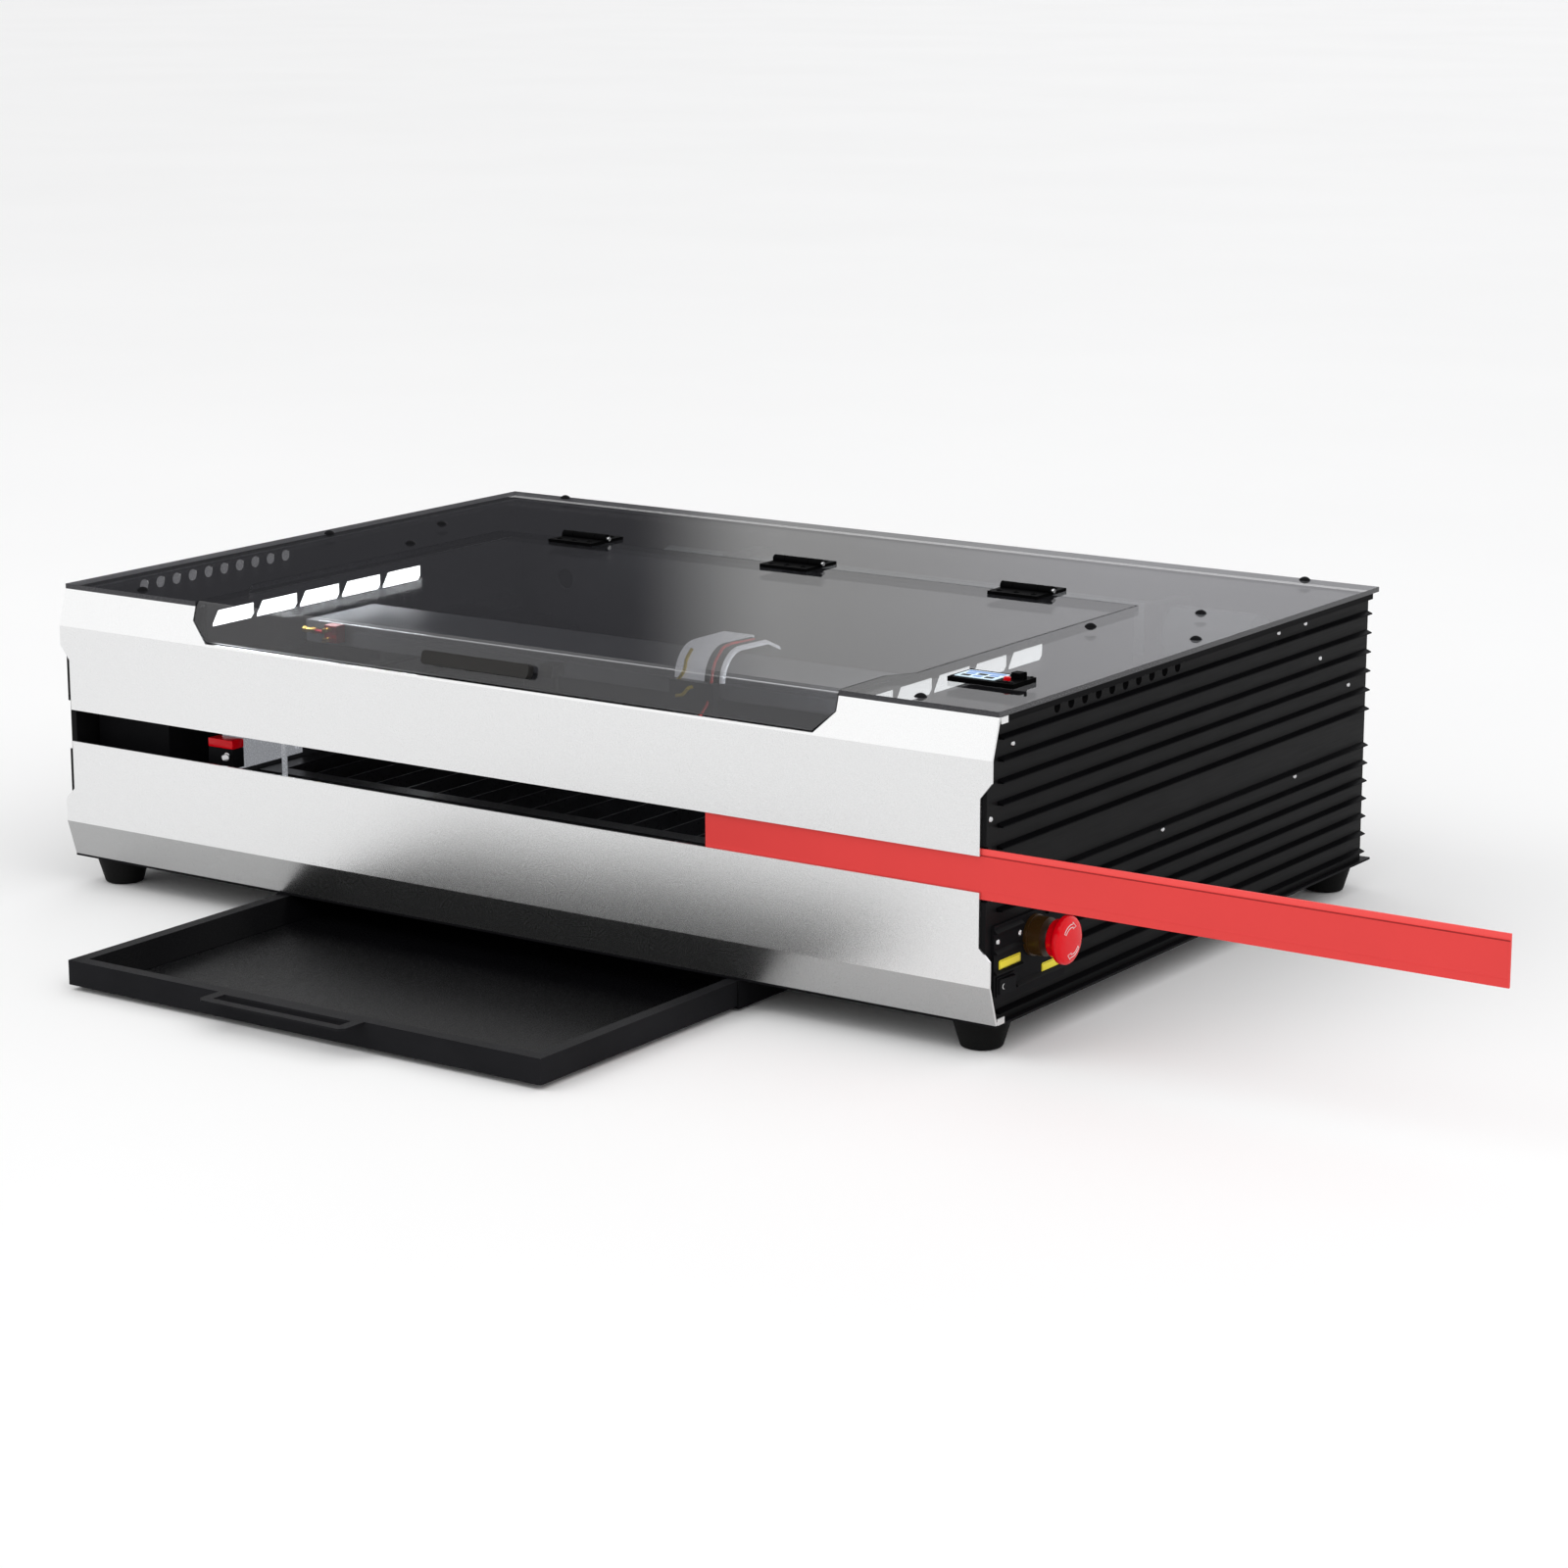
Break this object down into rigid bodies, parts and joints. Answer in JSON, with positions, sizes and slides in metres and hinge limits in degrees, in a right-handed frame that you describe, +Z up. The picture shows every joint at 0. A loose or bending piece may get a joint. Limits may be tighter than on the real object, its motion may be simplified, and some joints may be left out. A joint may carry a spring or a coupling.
{
  "type": "desktop laser cutter",
  "caption": "Low wide desktop laser cutter with a tinted hinged lid, a front slot with a sliding cover, a slide-out waste tray, a two-axis gantry and a lifting slat bed.",
  "frame": {"origin": "centre of the cabinet's plan, on the surface that the feet stand on", "axes": "+X to the operator's right along the cabinet, +Y to the rear, +Z up"},
  "size_m": [1.4383, 0.9775, 0.292],
  "materials": {
    "white_panel": "satin",
    "black_extrusion": "anodised satin",
    "black_sheet": "satin black",
    "tinted_acrylic": "gloss",
    "satin_metal": "satin",
    "steel": "polished",
    "black_plastic": "matte",
    "handle_plastic": "satin",
    "red_cover": "satin",
    "red_anodised": "anodised",
    "estop_red": "gloss",
    "collar_yellow": "satin",
    "rubber": "matte",
    "diffuser": "lit translucent white",
    "tube_glass": "clear",
    "circuit_board": "satin"
  },
  "bodies": {
    "chassis": {"base_plate": "black_sheet", "left_wall_upper": "black_extrusion", "left_wall_lower": "black_extrusion", "right_wall_upper": "black_extrusion", "right_wall_lower": "black_extrusion", "rear_panel": "black_sheet", "top_plate": "tinted_acrylic", "front_panel_upper": "white_panel", "front_panel_lower": "white_panel", "inner_wall_left": "satin_metal", "inner_wall_right": "satin_metal", "inner_wall_rear": "satin_metal", "light_diffusers": "diffuser", "cover_guides": "black_sheet", "feet": "rubber", "tray_housing": "black_sheet", "top_screws": "black_sheet", "side_screws": "steel", "control_plate": "black_sheet", "estop_collar": "collar_yellow", "display_case": "black_plastic", "hinge_fixed_leaves": "black_sheet", "hinge_pins": "steel", "y_rails": "steel", "y_belts": "rubber", "drive_motors": "black_sheet", "bed_belt": "rubber", "laser_tube": "tube_glass", "tube_mounts": "black_plastic", "rear_mirror_mount": "red_anodised", "power_supply": "black_sheet", "controller_board": "circuit_board", "exhaust_duct": "black_plastic", "power_inlet": "black_plastic"},
    "lid": {"lid_glass": "tinted_acrylic", "lid_handle": "handle_plastic", "hinge_lid_leaves": "black_sheet"},
    "tray": {"waste_tray": "black_sheet", "tray_handle": "black_sheet"},
    "slot_cover": {"slot_cover": "red_cover"},
    "gantry": {"gantry_beam": "satin_metal", "gantry_trucks": "black_sheet", "x_motor": "black_sheet", "x_belt": "rubber", "gantry_mirror_mount": "red_anodised"},
    "y_shaft": {"y_shaft": "steel"},
    "x_pulley": {"x_pulley": "steel"},
    "head": {"laser_head": "red_anodised", "head_cover": "satin_metal"},
    "bed": {"bed_frame": "black_sheet", "bed_slats": "black_sheet"},
    "screw_front_left": {"screw_front_left": "steel"},
    "screw_front_right": {"screw_front_right": "steel"},
    "screw_rear_left": {"screw_rear_left": "steel"},
    "screw_rear_right": {"screw_rear_right": "steel"},
    "estop_stem": {"estop_stem": "steel"},
    "estop_head": {"estop_head": "estop_red"},
    "rocker": {"rocker_key": "black_plastic"},
    "menu_button": {"menu_button": "estop_red"},
    "fan": {"fan_rotor": "black_plastic"}
  },
  "joints": [
    {"name": "lid_hinge", "type": "hinge", "parent": "chassis", "child": "lid", "pos_m": [0, 0.1256, 0.2862], "axis": [-1, 0, 0], "range_deg": [0, 95]},
    {"name": "tray_slide", "type": "slide", "parent": "chassis", "child": "tray", "axis": [0, 1, 0], "range_m": [-0.15, 0.2565]},
    {"name": "cover_slide", "type": "slide", "parent": "chassis", "child": "slot_cover", "axis": [1, 0, 0], "range_m": [-0.7143, 0]},
    {"name": "gantry_slide", "type": "slide", "parent": "chassis", "child": "gantry", "axis": [0, 1, 0], "range_m": [-0.05, 0.23]},
    {"name": "y_shaft_spin", "type": "hinge", "parent": "chassis", "child": "y_shaft", "pos_m": [0, 0.114, 0.179], "axis": [1, 0, 0], "range_deg": [-1648.25, 359.1]},
    {"name": "head_slide", "type": "slide", "parent": "gantry", "child": "head", "axis": [1, 0, 0], "range_m": [-0.343, 0.142]},
    {"name": "x_pulley_spin", "type": "hinge", "parent": "gantry", "child": "x_pulley", "pos_m": [0.295, -0.213, 0.205], "axis": [0, 1, 0], "range_deg": [-2457.56, 1018]},
    {"name": "bed_lift", "type": "slide", "parent": "chassis", "child": "bed", "axis": [0, 0, 1], "range_m": [-0.05, 0.035]},
    {"name": "screw_front_left_spin", "type": "hinge", "parent": "chassis", "child": "screw_front_left", "pos_m": [-0.2895, -0.276, 0.1], "axis": [0, 0, 1], "range_deg": [-1576, 2251]},
    {"name": "screw_front_right_spin", "type": "hinge", "parent": "chassis", "child": "screw_front_right", "pos_m": [0.2995, -0.276, 0.1], "axis": [0, 0, 1], "range_deg": [-1576, 2251]},
    {"name": "screw_rear_left_spin", "type": "hinge", "parent": "chassis", "child": "screw_rear_left", "pos_m": [-0.2895, 0.074, 0.1], "axis": [0, 0, 1], "range_deg": [-1576, 2251]},
    {"name": "screw_rear_right_spin", "type": "hinge", "parent": "chassis", "child": "screw_rear_right", "pos_m": [0.2995, 0.074, 0.1], "axis": [0, 0, 1], "range_deg": [-1576, 2251]},
    {"name": "estop_press", "type": "slide", "parent": "chassis", "child": "estop_stem", "axis": [-1, 0, 0], "range_m": [0, 0.004]},
    {"name": "estop_twist", "type": "hinge", "parent": "estop_stem", "child": "estop_head", "pos_m": [0.52, -0.27, 0.089], "axis": [1, 0, 0], "range_deg": [0, 45], "stiffness_Nm_per_rad": 0.05},
    {"name": "rocker_tilt", "type": "hinge", "parent": "chassis", "child": "rocker", "pos_m": [0.495, -0.314, 0.058], "axis": [0, 0, 1], "range_deg": [0, 16]},
    {"name": "menu_press", "type": "slide", "parent": "chassis", "child": "menu_button", "axis": [0, 0, -1], "range_m": [0, 0.0015], "stiffness_N_per_m": 250},
    {"name": "fan_spin", "type": "hinge", "parent": "chassis", "child": "fan", "pos_m": [0.24, 0.302, 0.138], "axis": [0, 1, 0], "continuous": true}
  ],
  "couplings": [
    {"joint": "y_shaft_spin", "follows": "gantry_slide", "rad_per_m": -125},
    {"joint": "x_pulley_spin", "follows": "head_slide", "rad_per_m": 125},
    {"joint": "screw_front_left_spin", "follows": "bed_lift", "rad_per_m": -785.4},
    {"joint": "screw_front_right_spin", "follows": "bed_lift", "rad_per_m": -785.4},
    {"joint": "screw_rear_left_spin", "follows": "bed_lift", "rad_per_m": -785.4},
    {"joint": "screw_rear_right_spin", "follows": "bed_lift", "rad_per_m": -785.4}
  ]
}
